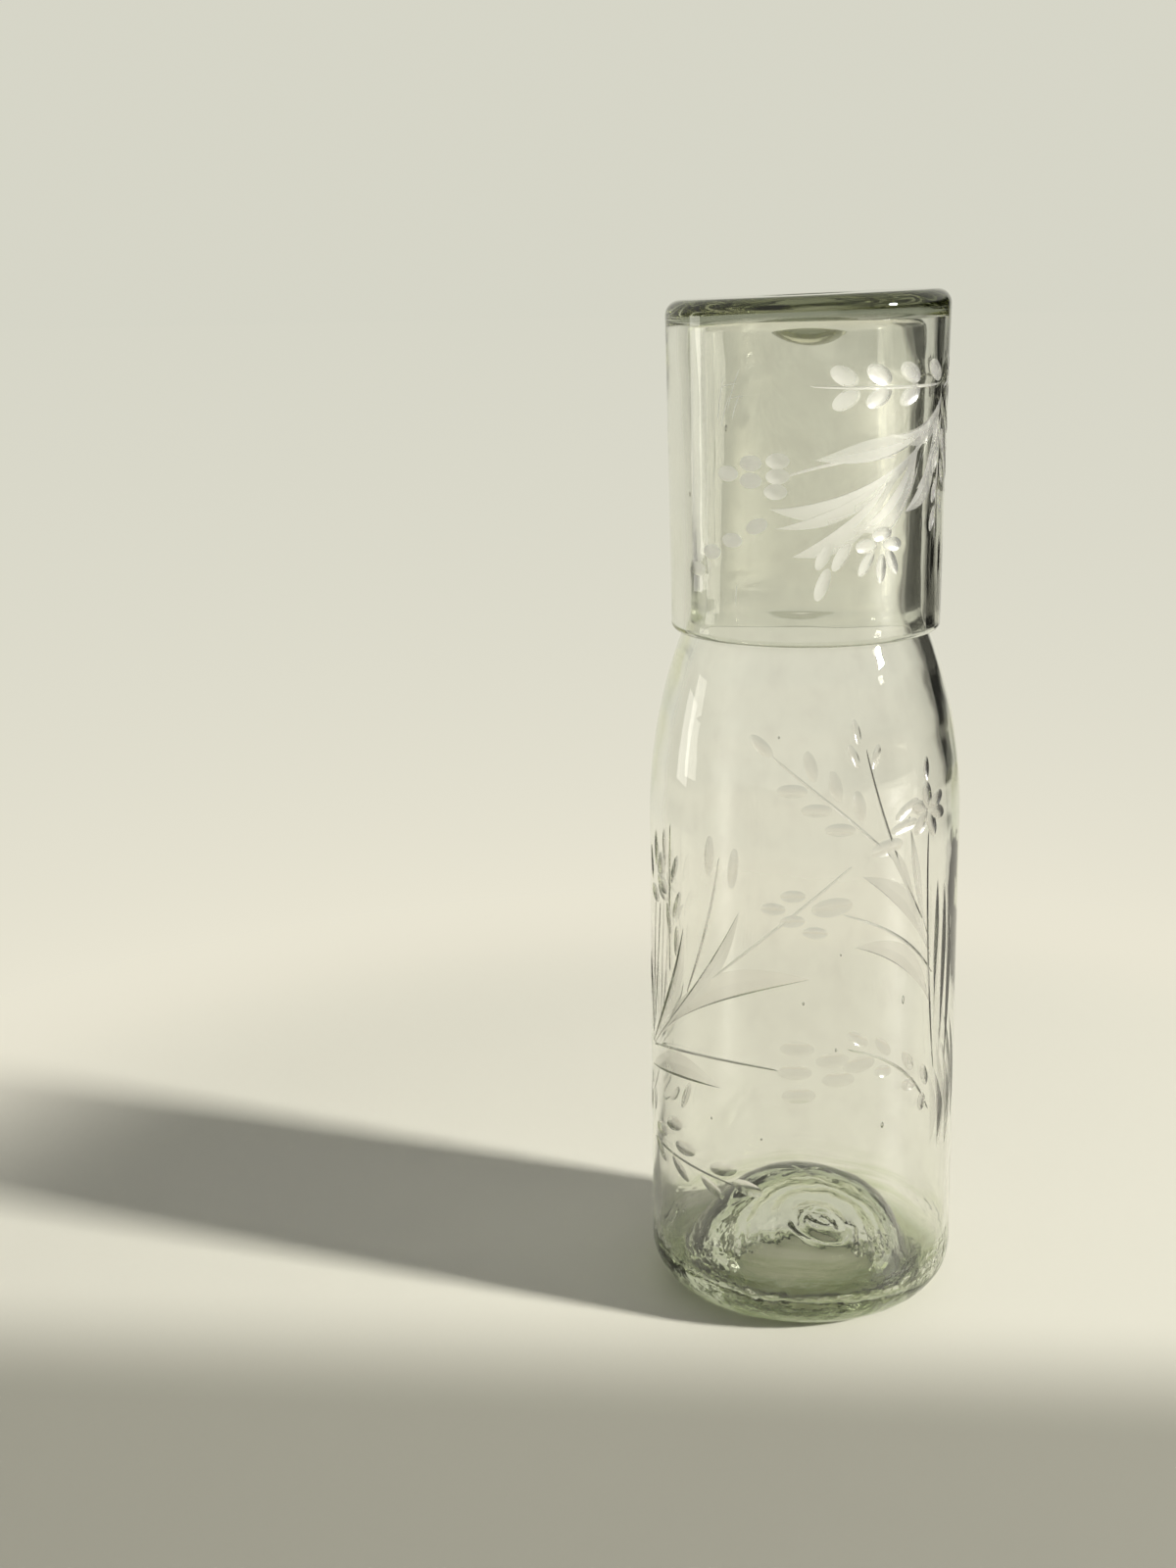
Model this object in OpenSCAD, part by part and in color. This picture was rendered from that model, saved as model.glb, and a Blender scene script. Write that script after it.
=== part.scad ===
/* [Carafe] */
// Outside diameter of the body (mm)
body_d = 78; // [74:0.5:82]
// Glass thickness of the body and the shoulder (mm)
body_wall = 3; // [2.4:0.1:3.6]
// Glass thickness of the neck (mm)
neck_wall = 3.8; // [3:0.1:4.4]
// Thickness of the fire-rounded lip (mm)
lip_d = 4.8; // [4.4:0.1:5.4]
// Height at which the body starts to draw in to the shoulder (mm)
shoulder_z = 126; // [110:1:150]
// Radius of the arc that the shoulder follows (mm)
shoulder_arc = 130; // [115:1:150]
// Radius of the hollow sweep between the shoulder and the neck (mm)
sweep_r = 8; // [5:1:14]

/* [Carafe foot] */
// Radius of the rounded heel (mm)
heel_r = 12; // [9:0.5:14]
// Radius of the rounded groove between the wall and the dome inside (mm)
groove_r = 4; // [3:0.5:6]
// Thickness of the glass under the lowest point inside (mm)
floor_t = 8; // [6:0.5:10]
// Diameter of the hollow pushed up under the foot (mm)
punt_d = 42; // [36:1:44]
// Depth of the hollow pushed up under the foot (mm)
punt_h = 17; // [12:0.5:19]
// Thickness of the glass at the top of the punt (mm)
punt_t = 11.5; // [9:0.5:13]
// Radius of the rounded edge between the punt and the foot ring (mm)
foot_edge_r = 3; // [2:0.5:4]

/* [Tumbler] */
// Outside diameter of the tumbler at its rim (mm)
rim_d = 66; // [65:0.5:68]
// Outside diameter of the tumbler at its base (mm)
base_d = 68.2; // [67:0.2:70]
// Height of the tumbler (mm)
tumbler_h = 80; // [72:1:95]
// Glass thickness of the tumbler's wall (mm)
tumbler_wall = 3.2; // [2.6:0.1:3.6]
// Glass thickness of the tumbler's base (mm)
base_t = 3.4; // [3:0.1:5]
// Radius of the rounded outside edge of the base (mm)
base_edge_r = 3.6; // [2.5:0.1:4]
// Radius of the rounded inside corner at the base (mm)
base_corner_r = 3; // [2:0.5:5]
// Diameter of the small hollow in the outside of the base (mm)
dimple_d = 22; // [16:1:26]
// Depth of the small hollow in the outside of the base (mm)
dimple_h = 3; // [2:0.1:4]
// Rise of the rounded bump inside the base (mm)
bump_h = 8.5; // [6:0.1:9]
// Diameter of the rounded bump inside the base (mm)
bump_d = 27; // [24:1:30]

/* [Fit] */
// Clearance left between the tumbler's rim and the carafe's shoulder (mm)
seat_gap = 0.3; // [0.2:0.05:0.5]
// Clearance left between the carafe's lip and the inside of the tumbler's base (mm)
lip_gap = 1.6; // [1:0.1:4]
// Clearance left round the carafe's neck at the narrowest inside of the tumbler (mm)
neck_gap = 1.4; // [1:0.1:3]

/* [Hidden] */
// Fineness of the previewed curves
$fn = 96;
// Sub-part names
// Sub-part to draw
// Overrun that carries a cut past the surface it opens
over = 1;

// Radii of the carafe, whose neck takes its size from the tumbler that goes over it
body_r = body_d / 2;
neck_r = min(rim_d, base_d) / 2 - tumbler_wall - neck_gap;
bore_r = neck_r - neck_wall;
inner_r = body_r - body_wall;
// Centre of the shoulder arc, measured from the axis
shoulder_cx = body_r - shoulder_arc;

// Radii of the tumbler's rounded rim
rim_round = tumbler_wall / 2;
rim_mid_r = rim_d / 2 - rim_round;
// Height of the rim's centre, where the rim meets the shoulder with the seat clearance
seat_reach = shoulder_arc + rim_round + seat_gap;
rim_mid_z = shoulder_z + sqrt(pow(seat_reach, 2) - pow(rim_mid_r - shoulder_cx, 2));
rim_z = rim_mid_z - rim_round;
top_z = rim_z + tumbler_h;
ceiling_z = top_z - base_t;
// Height of the carafe's lip and centre of its rounding
lip_z = ceiling_z - lip_gap;
lip_r = lip_d / 2;
lip_mid_r = neck_r - lip_r;
lip_mid_z = lip_z - lip_r;
// Lean of the tumbler's wall
lean = atan((base_d - rim_d) / 2 / tumbler_h);
// Centre of the rounded outside edge of the tumbler's base
edge_z = top_z - base_edge_r;
edge_r = rim_d / 2 + (edge_z - rim_z) * tan(lean) - base_edge_r / cos(lean);
// Centre of the rounded inside corner of the tumbler's base
wall_in = tumbler_wall / cos(lean);
corner_z = ceiling_z - base_corner_r;
corner_r = rim_d / 2 + (corner_z - rim_z) * tan(lean) - wall_in - base_corner_r / cos(lean);

// Centre of the groove's rounding inside the carafe
groove_x = inner_r - groove_r;
groove_z = floor_t + groove_r;
// Sphere of the dome, whose foot runs out into the groove's rounding
dome_top_z = punt_h + punt_t;
dome_h = dome_top_z - floor_t;
dome_over = dome_top_z - groove_z;
dome_sphere = (pow(groove_x, 2) + pow(dome_over, 2) - pow(groove_r, 2)) / (2 * dome_h);
// Spheres of the punt, the dimple and the bump
punt_sphere = (pow(punt_d / 2, 2) + pow(punt_h, 2)) / (2 * punt_h);
dimple_sphere = (pow(dimple_d / 2, 2) + pow(dimple_h, 2)) / (2 * dimple_h);
bump_sphere = (pow(bump_d / 2, 2) + pow(bump_h, 2)) / (2 * bump_h);

// What a rounded bottom corner at radius r and height z leaves outside it, in a half section
module round_corner(r, z, round_r) {
    difference() {
        translate([r - round_r, z])
            square([round_r + over, round_r]);
        translate([r - round_r, z + round_r])
            circle(r = round_r);
    }
}

// Corner left between a level line and a sphere on the axis, outside a rounding that touches both
module sphere_corner(sphere_r, sphere_z, level_z, round_r) {
    reach = sphere_r + round_r;
    rise = level_z + round_r - sphere_z;
    round_x = sqrt(pow(reach, 2) - pow(rise, 2));
    touch_z = sphere_z + sphere_r * rise / reach;
    difference() {
        polygon([
            [0, level_z],
            [round_x, level_z],
            [round_x, level_z + round_r],
            [sphere_r * round_x / reach, touch_z],
            [0, touch_z]
        ]);
        translate([round_x, level_z + round_r])
            circle(r = round_r);
    }
}

// Half section of a shoulder arc and a neck, filled to the axis, with a hollow sweep that touches both
module drawn_neck(arc_r, straight_r, hollow_r, to_z) {
    hollow_x = straight_r + hollow_r;
    reach = hollow_x - shoulder_cx;
    span = arc_r + hollow_r;
    rise = sqrt(pow(span, 2) - pow(reach, 2));
    hollow_z = shoulder_z + rise;
    join_z = shoulder_z + arc_r * rise / span;
    join_r = shoulder_cx + arc_r * reach / span;
    intersection() {
        translate([shoulder_cx, shoulder_z])
            circle(r = arc_r);
        translate([0, shoulder_z - over])
            square([body_r, join_z - shoulder_z + over]);
    }
    difference() {
        translate([0, join_z - over])
            square([join_r, hollow_z - join_z + over]);
        translate([hollow_x, hollow_z])
            circle(r = hollow_r);
    }
    translate([0, hollow_z - over])
        square([straight_r, to_z - hollow_z + over]);
}

// Section of the fire-rounded lip
module lip_bead() {
    translate([lip_mid_r, lip_mid_z])
        circle(r = lip_r);
}

// Half section of the outside of the carafe
module carafe_outside() {
    difference() {
        square([body_r, shoulder_z]);
        round_corner(body_r, 0, heel_r);
    }
    drawn_neck(shoulder_arc, neck_r, sweep_r, lip_mid_z);
    translate([0, lip_mid_z])
        square([lip_mid_r, lip_r]);
    lip_bead();
}

// Half section of the hollow of the carafe
module carafe_hollow() {
    difference() {
        translate([0, floor_t])
            square([inner_r, shoulder_z - floor_t]);
        round_corner(inner_r, floor_t, groove_r);
        translate([0, dome_top_z - dome_sphere])
            circle(r = dome_sphere);
        sphere_corner(dome_sphere, dome_top_z - dome_sphere, floor_t, groove_r);
    }
    difference() {
        union() {
            drawn_neck(shoulder_arc - body_wall, bore_r, sweep_r + neck_wall, lip_mid_z);
            translate([0, lip_mid_z])
                square([lip_mid_r, lip_r + over]);
        }
        lip_bead();
    }
}

// Half section of the outside of the tumbler, standing upside down over the neck
module tumbler_outside() {
    translate([rim_mid_r, rim_mid_z])
        circle(r = rim_round);
    translate([edge_r, edge_z])
        circle(r = base_edge_r);
    polygon([
        [0, rim_mid_z],
        [rim_mid_r, rim_mid_z],
        [rim_mid_r + rim_round * cos(lean), rim_mid_z - rim_round * sin(lean)],
        [edge_r + base_edge_r * cos(lean), edge_z - base_edge_r * sin(lean)],
        [edge_r, edge_z],
        [edge_r, top_z],
        [0, top_z]
    ]);
}

// Half section of the hollow of the tumbler
module tumbler_hollow() {
    difference() {
        union() {
            translate([corner_r, corner_z])
                circle(r = base_corner_r);
            polygon([
                [0, rim_z - over],
                [rim_mid_r, rim_z - over],
                [rim_mid_r, rim_mid_z],
                [rim_mid_r - rim_round * cos(lean), rim_mid_z + rim_round * sin(lean)],
                [corner_r + base_corner_r * cos(lean), corner_z - base_corner_r * sin(lean)],
                [corner_r, corner_z],
                [corner_r, ceiling_z],
                [0, ceiling_z]
            ]);
        }
        translate([rim_mid_r, rim_mid_z])
            circle(r = rim_round);
        translate([0, ceiling_z - bump_h + bump_sphere])
            circle(r = bump_sphere);
    }
}

// Right half of a flat drawing, the part that is turned about the axis
module right_half() {
    intersection() {
        children();
        square([body_d, top_z + body_d]);
    }
}

// Bottle with a pushed-up foot, a drawn shoulder and a straight neck
module carafe() {
    color([0.72, 0.78, 0.66, 0.5])
        rotate_extrude()
            right_half()
                difference() {
                    carafe_outside();
                    carafe_hollow();
                    translate([0, punt_h - punt_sphere])
                        circle(r = punt_sphere);
                    sphere_corner(punt_sphere, punt_h - punt_sphere, 0, foot_edge_r);
                }
}

// Drinking glass that stands upside down over the neck as the cap
module tumbler() {
    color([0.74, 0.79, 0.68, 0.5])
        rotate_extrude()
            right_half()
                difference() {
                    tumbler_outside();
                    tumbler_hollow();
                    translate([0, top_z - dimple_h + dimple_sphere])
                        circle(r = dimple_sphere);
                }
}

carafe();
tumbler();
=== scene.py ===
"""Bedside carafe capped by its tumbler: blown pale green glass with wheel-cut flowers.

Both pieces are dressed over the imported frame.
"""

import math

import bmesh
import bpy
import numpy as np
from mathutils import Matrix, Vector
from mathutils.geometry import delaunay_2d_cdt


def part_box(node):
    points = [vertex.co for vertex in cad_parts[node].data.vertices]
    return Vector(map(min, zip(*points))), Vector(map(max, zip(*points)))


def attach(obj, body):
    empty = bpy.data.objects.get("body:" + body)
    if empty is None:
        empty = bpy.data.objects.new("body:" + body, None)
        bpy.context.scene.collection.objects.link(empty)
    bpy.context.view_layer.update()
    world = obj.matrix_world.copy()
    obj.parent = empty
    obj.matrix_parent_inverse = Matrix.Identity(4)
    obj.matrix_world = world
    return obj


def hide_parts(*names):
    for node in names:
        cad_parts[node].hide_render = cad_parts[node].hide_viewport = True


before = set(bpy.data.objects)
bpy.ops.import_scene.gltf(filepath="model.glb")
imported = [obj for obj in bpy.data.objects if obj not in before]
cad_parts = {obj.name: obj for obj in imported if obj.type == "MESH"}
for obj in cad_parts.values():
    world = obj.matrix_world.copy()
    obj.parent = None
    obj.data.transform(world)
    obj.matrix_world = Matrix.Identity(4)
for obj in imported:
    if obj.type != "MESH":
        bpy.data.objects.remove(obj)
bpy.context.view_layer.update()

# Shapes are worked out in millimetres and written to the meshes in metres.
MM = 0.001

# Sizes that the frame gives
_, carafe_high = (Vector(c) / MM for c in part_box("carafe"))
tumbler_low, tumbler_high = (Vector(c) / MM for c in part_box("tumbler"))
BODY_R = carafe_high.x
LIP_Z = carafe_high.z
RIM_Z = tumbler_low.z
TOP_Z = tumbler_high.z

# Carafe sizes, as in the part's source
BODY_WALL = 3.0
NECK_WALL = 3.8
SHOULDER_Z = 126.0
SHOULDER_ARC = 130.0
NECK_R = 28.4
SWEEP_R = 8.0
HEEL_R = 12.0
GROOVE_R = 4.0
FLOOR_T = 8.0
PUNT_R = 21.0
PUNT_H = 17.0
PUNT_T = 11.5
FOOT_EDGE_R = 3.0
# Rounding of the lip outside and inside, plainer than the bead in the part's source
LIP_OUT_R = 3.1
LIP_IN_R = 0.7
# The inside of the foot isn't level: fall per millimetre towards +X
FLOOR_TILT = 0.05
# Top of the punt, from the axis
PUNT_PLACE = (1.0, -6.5)
# Where the punty iron was broken off under the foot, from the axis, and the ring of glass it left
SCAR_PLACE = (4.5, -8.5)
SCAR_RING_R = 5.5
SCAR_RING_W = 0.9
SCAR_RING_H = 0.5
# The ring is uneven: its mean share of that height, how much it swells, and where
SCAR_RING_SWELL = (0.65, 0.35, 0.5)
# How far its twisted scar reaches, over what distance it runs out,
# and the share of the punt's height over which it comes in
SCAR_R = 25.0
SCAR_RUN_OUT = 8.0
SCAR_START = 0.25
# Distance over which the scar comes in from its centre, and its share there
SCAR_CALM_R = 2.0
SCAR_CALM = 0.3

# Tumbler sizes, as in the part's source
RIM_R = 33.0
BASE_R = 34.1
TUMBLER_WALL = 3.2
BASE_T = 3.4
BASE_EDGE_R = 3.6
BASE_CORNER_R = 3.0
DIMPLE_R = 11.0
DIMPLE_H = 3.0
BUMP_R = 13.5
BUMP_H = 8.5
# The blown tumbler's base isn't level: rise per millimetre towards +X at the base
BASE_TILT = 0.03

# Fineness of the meshes
COLUMNS = 272
ROW_STEP = 3.0
ARC_STEP = math.radians(6)
DOME_STEP = math.radians(2)
GRID_STEP = 2.4
# Where rows of the wall's grid start in turn, and how far from the far edge they end, in steps
GRID_STARTS = (1.25, 0.75)
GRID_END = 0.6
# Points nearer than this are welded, and edges shorter than the next are dropped
WELD = 0.004
SLIVER = 0.001
# Lengths below this count as none, and places of the unrolled wall nearer than the next as one
TINY = 1e-6
SAME_PLACE = 1e-5
# Angle between two faces of a cut above which their edge is crisp
CRISP = math.radians(11)

# Angle from the front at which the unrolled walls are cut open
SEAM = -math.pi
# Heights between which the walls carry cut flowers
CARAFE_CUTS = (26.0, 163.0)
TUMBLER_CUTS = (180.0, 245.0)


# Profiles: lists of (radius, height) pairs

def arc(centre, radius, start, end, step=ARC_STEP):
    """Points of an arc, angles in degrees counter-clockwise from the outward direction."""
    a, b = math.radians(start), math.radians(end)
    count = max(3, math.ceil(abs(b - a) / step) + 1)
    return [
        (centre[0] + radius * math.cos(t), centre[1] + radius * math.sin(t))
        for t in np.linspace(a, b, count)
    ]


def filled(points):
    """The same outline with points added where two lie further apart than a row."""
    out = [points[0]]
    for a, b in zip(points, points[1:]):
        gap = math.dist(a, b)
        if gap < TINY:
            continue
        count = max(1, math.ceil(gap / ROW_STEP))
        for i in range(1, count + 1):
            out.append((a[0] + (b[0] - a[0]) * i / count, a[1] + (b[1] - a[1]) * i / count))
    return out


def cap_sphere(radius, height):
    """Radius of the sphere whose cap has this radius and height."""
    return (radius**2 + height**2) / (2 * height)


def dome_outline(sphere_r, sphere_z, level_z, round_r):
    """A sphere's cap from the axis, and the rounding that lets it run out into a level floor."""
    reach = sphere_r + round_r
    rise = level_z + round_r - sphere_z
    round_x = math.sqrt(reach**2 - rise**2)
    lean = math.degrees(math.atan2(rise, round_x))
    cap = arc((0, sphere_z), sphere_r, 90, lean, DOME_STEP)
    return cap + arc((round_x, level_z + round_r), round_r, 180 + lean, 270)


def carafe_radius(z):
    """Outside radius of the body and the shoulder."""
    rise = np.maximum(z - SHOULDER_Z, 0.0)
    return BODY_R - SHOULDER_ARC + np.sqrt(SHOULDER_ARC**2 - rise**2)


def tumbler_radius(z):
    """Outside radius of the tumbler's leaning wall."""
    return RIM_R + (BASE_R - RIM_R) * (z - RIM_Z) / (TOP_Z - RIM_Z)


def neck_sweep(arc_r, straight_r, hollow_r):
    """Centre of the hollow sweep between a shoulder arc and a neck, and the angle at which the arc ends."""
    x = straight_r + hollow_r
    reach = x - (BODY_R - SHOULDER_ARC)
    rise = math.sqrt((arc_r + hollow_r) ** 2 - reach**2)
    return (x, SHOULDER_Z + rise), math.degrees(math.atan2(rise, reach))


def carafe_outlines():
    """The carafe's outlines: foot and heel up to the cuts, shoulder and neck over them, and the inside."""
    low, high = CARAFE_CUTS
    punt_sphere = cap_sphere(PUNT_R, PUNT_H)
    heel = dome_outline(punt_sphere, PUNT_H - punt_sphere, 0.0, FOOT_EDGE_R)
    heel += arc((BODY_R - HEEL_R, HEEL_R), HEEL_R, 270, 360) + [(BODY_R, low)]

    shoulder = (BODY_R - SHOULDER_ARC, SHOULDER_Z)
    high_angle = math.degrees(math.asin((high - SHOULDER_Z) / SHOULDER_ARC))
    sweep, join = neck_sweep(SHOULDER_ARC, NECK_R, SWEEP_R)
    neck = arc(shoulder, SHOULDER_ARC, high_angle, join)
    neck += arc(sweep, SWEEP_R, 180 + join, 180)
    neck += arc((NECK_R - LIP_OUT_R, LIP_Z - LIP_OUT_R), LIP_OUT_R, 0, 90)

    inner_r = BODY_R - BODY_WALL
    groove = (inner_r - GROOVE_R, FLOOR_T + GROOVE_R)
    dome_top = PUNT_H + PUNT_T
    dome_sphere = (groove[0] ** 2 + (dome_top - groove[1]) ** 2 - GROOVE_R**2) / (2 * (dome_top - FLOOR_T))
    bore_r = NECK_R - NECK_WALL
    sweep, join = neck_sweep(SHOULDER_ARC - BODY_WALL, bore_r, SWEEP_R + NECK_WALL)
    inside = arc((bore_r + LIP_IN_R, LIP_Z - LIP_IN_R), LIP_IN_R, 90, 180)
    inside += arc(sweep, SWEEP_R + NECK_WALL, 180, 180 + join)
    inside += arc(shoulder, SHOULDER_ARC - BODY_WALL, join, 0)
    inside += arc(groove, GROOVE_R, 0, -90)
    inside += dome_outline(dome_sphere, dome_top - dome_sphere, FLOOR_T, GROOVE_R)[::-1]
    return filled(heel), filled(neck), filled(inside)


def tumbler_outlines():
    """The tumbler's outlines: rim up to the cuts, base over them, and the inside."""
    low, high = TUMBLER_CUTS
    lean = math.degrees(math.atan2(BASE_R - RIM_R, TOP_Z - RIM_Z))
    slope = math.radians(lean)
    rim_round = TUMBLER_WALL / 2
    rim_mid = (RIM_R - rim_round, RIM_Z + rim_round)
    rim = arc(rim_mid, rim_round, 270, 360 - lean) + [(tumbler_radius(low), low)]

    edge_z = TOP_Z - BASE_EDGE_R
    edge_r = tumbler_radius(edge_z) - BASE_EDGE_R / math.cos(slope)
    dimple_sphere = cap_sphere(DIMPLE_R, DIMPLE_H)
    dimple_angle = math.degrees(math.asin(DIMPLE_R / dimple_sphere))
    base = [(tumbler_radius(high), high)]
    base += arc((edge_r, edge_z), BASE_EDGE_R, -lean, 90)
    base += arc((0, TOP_Z - DIMPLE_H + dimple_sphere), dimple_sphere, -90 + dimple_angle, -90)

    ceiling = TOP_Z - BASE_T
    bump_sphere = cap_sphere(BUMP_R, BUMP_H)
    bump_angle = math.degrees(math.asin(BUMP_R / bump_sphere))
    corner_z = ceiling - BASE_CORNER_R
    corner_r = tumbler_radius(corner_z) - (TUMBLER_WALL + BASE_CORNER_R) / math.cos(slope)
    inside = arc((0, ceiling - BUMP_H + bump_sphere), bump_sphere, -90, -90 + bump_angle)
    inside += arc((corner_r, corner_z), BASE_CORNER_R, 90, -lean)
    inside += arc(rim_mid, rim_round, 180 - lean, 270)
    return filled(rim), filled(base), filled(inside)


# Cut flowers. Places are (distance round the wall from the front, height), in millimetres.

# Share of the width and of the depth across a leaf, from its deep edge to its soft edge
LEAF_SECTION = ((0.0, 0.0), (0.05, 1.0), (0.5, 0.45), (1.0, 0.0))
STEM_SECTION = ((0.0, 0.0), (0.5, 1.0), (1.0, 0.0))
PETAL_RINGS = (1.0, 0.8, 0.55, 0.28)
PETAL_POINTS = 28
STROKE_STEP = 1.1
# Powers by which a cut's depth follows its width, and by which a stem's width runs out
DEPTH_POWER = 0.7
STEM_POWER = 0.25
# Lean of a twig's hollows from its stem, in degrees
TWIG_SPLAY = 38
# How far a twig's last hollow lies past the tip, as a share of its length
TWIG_TIP = 0.45
# Bare wall kept between a cut's edge and the points of the wall's own grid
GRID_MARGIN = 0.7
# Margin round a cut within which its depth is worked out
BOX_MARGIN = 0.01
# Least depth that counts as cut, and how matt a cut is at its shallowest, as a share of its deepest
SHALLOWEST = 0.004
GROUND_LEAST = 0.6
# How matt the cuts are: distances round the wall from the front, and the share at each. On the carafe the
# cuts grow more matt and darker towards the sides; on the tumbler the share is painted light and shade,
# whiter at the left where little light falls and less white at the right where the key lamp falls.
CARAFE_MATT = ((-45.0, -12.0, 10.0, 32.0), (1.0, 0.6, 0.6, 1.0))
TUMBLER_MATT_PAINTED_LIGHT = ((-29.0, -19.0, -10.0, 0.0, 22.0), (0.6, 1.0, 1.0, 0.65, 0.5))


def bowed(start, end, bow, count):
    """Points along a bowed line, and the directions across it, to the left of its run."""
    t = np.linspace(0.0, 1.0, count)[:, None]
    a, b = np.array(start, float), np.array(end, float)
    run = b - a
    left = np.array([-run[1], run[0]]) / np.linalg.norm(run)
    points = a + run * t + left * bow * 4 * t * (1 - t)
    along = run + left * bow * 4 * (1 - 2 * t)
    along /= np.linalg.norm(along, axis=1)[:, None]
    return points, np.stack([-along[:, 1], along[:, 0]], axis=1)


def ribbon(start, end, bow, widths, section, deep):
    """A cut along a bowed line: its edge points, the way across, and its widths and depths."""
    length = math.dist(start, end) + abs(bow)
    count = max(8, math.ceil(length / STROKE_STEP))
    points, across = bowed(start, end, bow, count)
    share = np.linspace(0.0, 1.0, count)
    width = widths(share)
    depth = deep * (np.abs(width) / np.abs(width).max()) ** DEPTH_POWER
    return {"points": points, "across": across, "width": width, "depth": depth, "section": section}


def leaf(start, end, bow=0.0, width=4.0, deep=0.5, fullest=0.6):
    """A one-sided leaf, deep along the line and soft to its left, or to its right if width is negative."""
    power = math.log(0.5) / math.log(fullest)
    return [ribbon(start, end, bow, lambda t: width * np.sin(np.pi * t**power), LEAF_SECTION, deep)]


def stem(start, end, bow=0.0, width=0.75, deep=0.26):
    """A thin even line that runs out at both ends."""
    return [ribbon(start, end, bow, lambda t: width * np.sin(np.pi * t) ** STEM_POWER, STEM_SECTION, deep)]


def petal(place, length=6.0, width=3.0, turn=0.0, deep=0.45):
    """An oval hollow, turned counter-clockwise in degrees."""
    return [{"place": place, "half": (length / 2, width / 2), "turn": math.radians(turn), "deep": deep}]


def petals(places, length, width, deep=0.45):
    """Oval hollows of one size at (round, height, turn)."""
    return sum((petal((u, z), length, width, turn, deep) for u, z, turn in places), [])


def flower(centre, radius, turns, length, width, deep=0.45):
    """Oval hollows that point away from a centre, at these turns."""
    out = []
    for turn in turns:
        a = math.radians(turn)
        place = (centre[0] + radius * math.cos(a), centre[1] + radius * math.sin(a))
        out += petal(place, length, width, turn, deep)
    return out


def twig(start, end, bow, shares, spread, length, width, deep=0.45):
    """A thin stem with pairs of oval hollows that lean forward along it, and one at its tip."""
    out = stem(start, end, bow)
    points, across = bowed(start, end, bow, 101)
    for share in shares:
        i = round(share * 100)
        heading = math.degrees(math.atan2(-across[i][0], across[i][1]))
        for side in (1, -1):
            place = points[i] + across[i] * side * spread
            out += petal(tuple(place), length, width, heading + side * TWIG_SPLAY, deep)
    tip = math.degrees(math.atan2(-across[-1][0], across[-1][1]))
    run = np.array([math.cos(math.radians(tip)), math.sin(math.radians(tip))])
    return out + petal(tuple(points[-1] + run * length * TWIG_TIP), length, width, tip, deep)


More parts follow.
